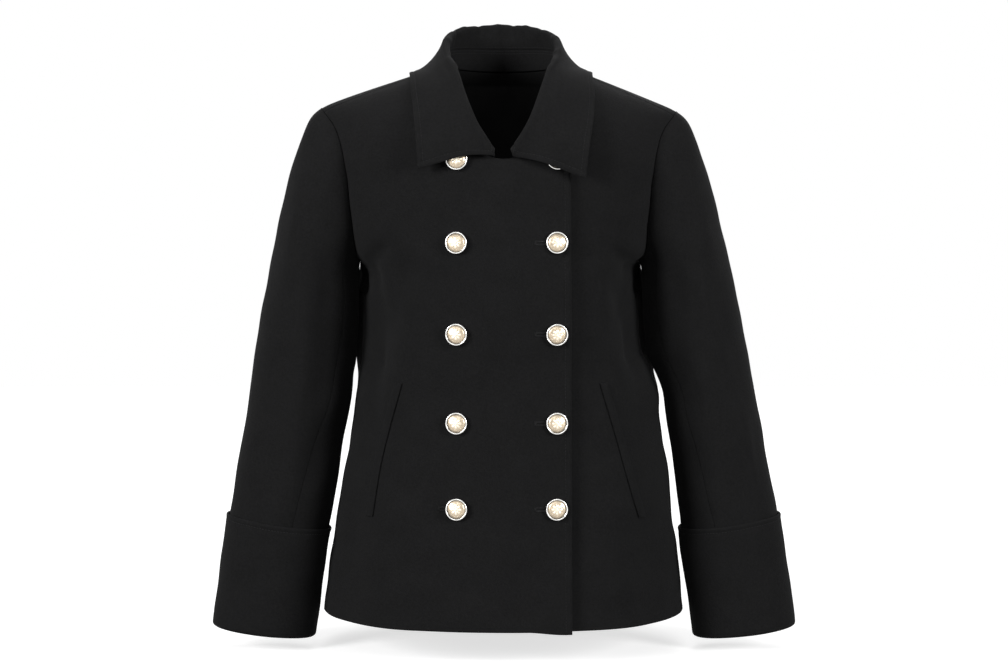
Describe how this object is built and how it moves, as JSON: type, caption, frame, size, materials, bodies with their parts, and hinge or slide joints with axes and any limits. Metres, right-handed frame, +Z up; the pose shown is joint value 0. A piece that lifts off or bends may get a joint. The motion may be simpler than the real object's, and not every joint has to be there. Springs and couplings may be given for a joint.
{
  "type": "pea coat",
  "caption": "Short double-breasted wool pea coat with a turned-down collar, slanted welt pockets, set-in sleeves and turned-back cuffs, hollow as when worn.",
  "frame": {"origin": "middle of the neck base, level with the tops of the wearer's shoulders, where the coat is carried", "axes": "+Z up, -Y out of the front, +X towards the wearer's left"},
  "size_m": [0.6584, 0.2969, 0.6852],
  "materials": {
    "wool": "black melton wool, matte with a short nap",
    "button_metal": "domed metal buttons with a silver rim and a pale champagne-gold disc"
  },
  "bodies": {
    "root": {"front_right": "wool", "front_left": "wool", "back": "wool", "sleeve_top_right": "wool", "sleeve_under_right": "wool", "sleeve_top_left": "wool", "sleeve_under_left": "wool", "cuff_right": "wool", "cuff_left": "wool", "collar_stand": "wool", "collar_fall": "wool", "neck_facing": "wool", "pocket_welt_right": "wool", "pocket_welt_left": "wool", "button_1_right": "button_metal", "button_1_left": "button_metal", "button_2_right": "button_metal", "button_2_left": "button_metal", "button_3_right": "button_metal", "button_3_left": "button_metal", "button_4_right": "button_metal", "button_4_left": "button_metal", "button_5_right": "button_metal", "button_5_left": "button_metal"}
  },
  "joints": []
}
